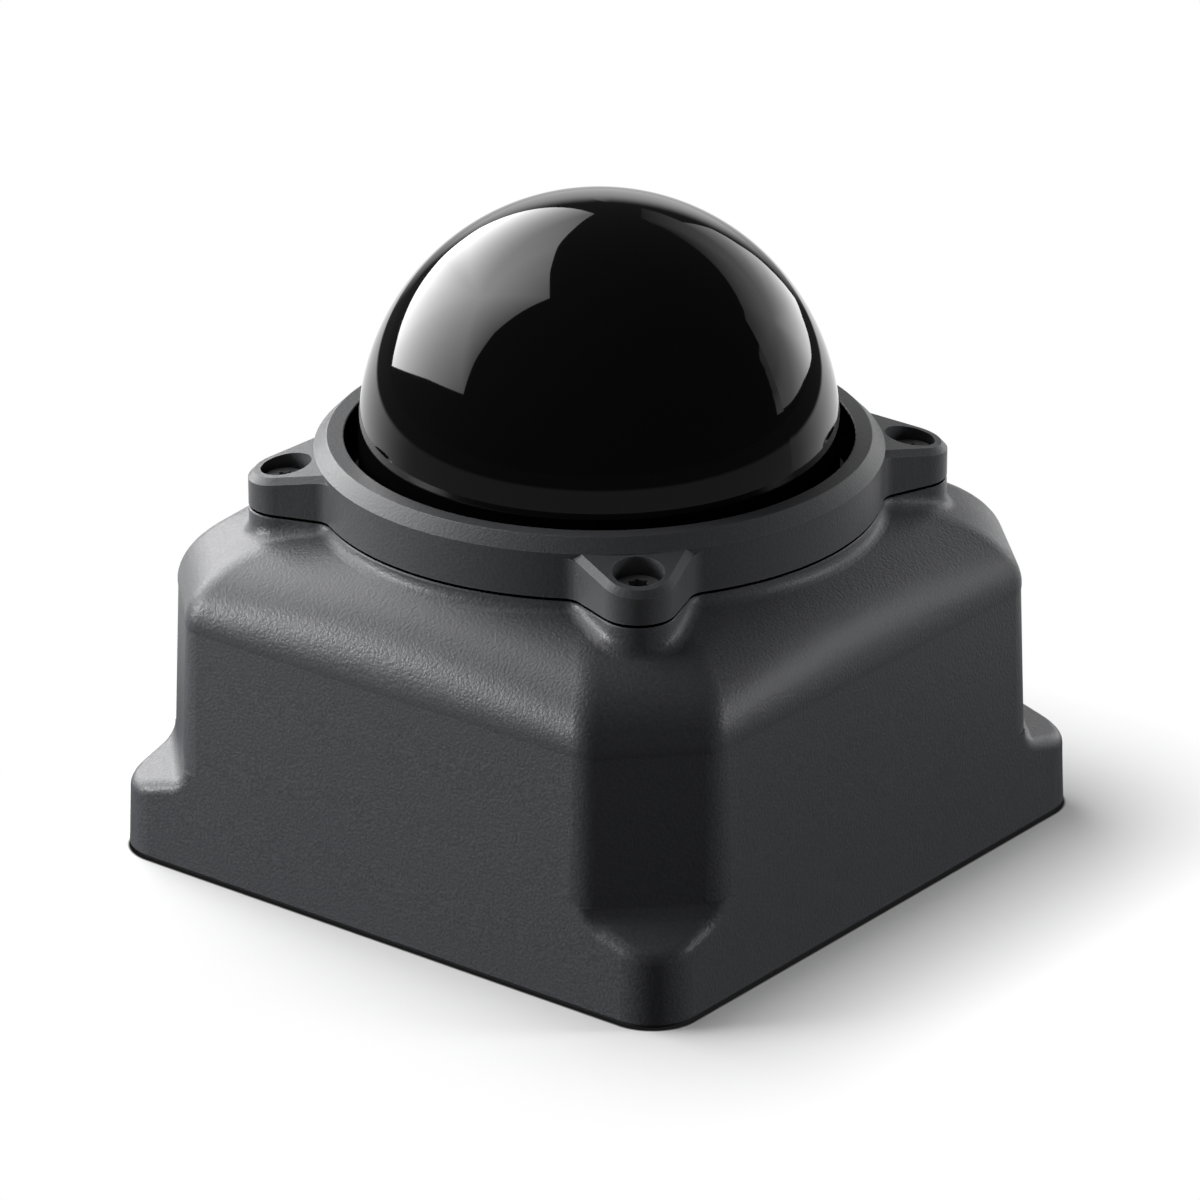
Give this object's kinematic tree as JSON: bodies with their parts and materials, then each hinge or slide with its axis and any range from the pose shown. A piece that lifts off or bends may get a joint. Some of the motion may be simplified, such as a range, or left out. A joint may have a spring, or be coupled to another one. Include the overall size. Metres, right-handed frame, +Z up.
{
  "type": "lidar sensor",
  "caption": "Compact scanning lidar: square cast housing with stepped corner feet, screwed clamp ring with lugs and a glossy infrared dome over a turning mirror head.",
  "frame": {"origin": "middle of the underside, in the plane it stands on", "axes": "+Z up along the dome and the head's axis; +Y out through the receptacle's wall"},
  "size_m": [0.065, 0.0749, 0.0619],
  "materials": {
    "housing_coat": "fine textured charcoal coat on cast aluminium",
    "ring_coat": "smooth satin charcoal coat",
    "dark_steel": "blackened",
    "infrared_dome": "gloss, passes infrared only",
    "seal_rubber": "matte",
    "plate_metal": "black anodised",
    "nickel": "nickel plated",
    "black_plastic": "moulded",
    "gold": "gold plated",
    "board": "solder mask",
    "chip": "moulded",
    "pad": "soft grey pad",
    "ferrite": "sintered",
    "bare_aluminium": "machined",
    "steel": "plain",
    "bright_steel": "polished",
    "copper": "enamelled wire",
    "magnet": "nickel coated",
    "bronze": "plain",
    "lens_glass": "coated",
    "mirror_face": "polished both sides"
  },
  "bodies": {
    "base": {"housing": "housing_coat", "bezel_ring": "ring_coat", "bezel_screws": "dark_steel", "dome": "infrared_dome", "dome_gasket": "seal_rubber", "base_plate": "plate_metal", "base_seal": "seal_rubber", "base_screws": "dark_steel", "connector_shell": "nickel", "connector_seal": "seal_rubber", "connector_nut": "nickel", "connector_insert": "black_plastic", "connector_pins": "gold", "connector_board": "board", "board_header": "black_plastic", "main_board": "board", "board_screws": "steel", "processor": "chip", "thermal_pad": "pad", "board_chips": "chip", "board_link": "black_plastic", "optics_board": "board", "optics_screws": "steel", "laser_module": "steel", "detector_module": "steel", "lens_barrel": "plate_metal", "collimator_lens": "lens_glass", "coupler_fixed": "ferrite", "scanner_frame": "bare_aluminium", "frame_screws": "steel", "stator_core": "steel", "stator_coils": "copper", "bearing_outer_rings": "steel", "bearing_balls": "bright_steel", "encoder_sensor": "black_plastic"},
    "head": {"rotor_shaft": "bare_aluminium", "rotor_bell": "steel", "rotor_magnets": "magnet", "bearing_inner_rings": "steel", "encoder_disk": "black_plastic", "coupler_moving": "ferrite", "mirror_fork": "bare_aluminium", "fork_screws": "steel", "mirror_bushes": "bronze", "mirror_stator": "steel", "mirror_coils": "copper", "counterweight": "bronze"},
    "mirror": {"scan_mirror": "mirror_face", "mirror_axle": "steel", "mirror_magnets": "magnet"}
  },
  "joints": [
    {"name": "rotor_spin", "type": "hinge", "parent": "base", "child": "head", "pos_m": [0, 0, 0.03], "axis": [0, 0, 1], "continuous": true},
    {"name": "mirror_spin", "type": "hinge", "parent": "head", "child": "mirror", "pos_m": [0, 0, 0.0398], "axis": [1, 0, 0], "continuous": true}
  ]
}
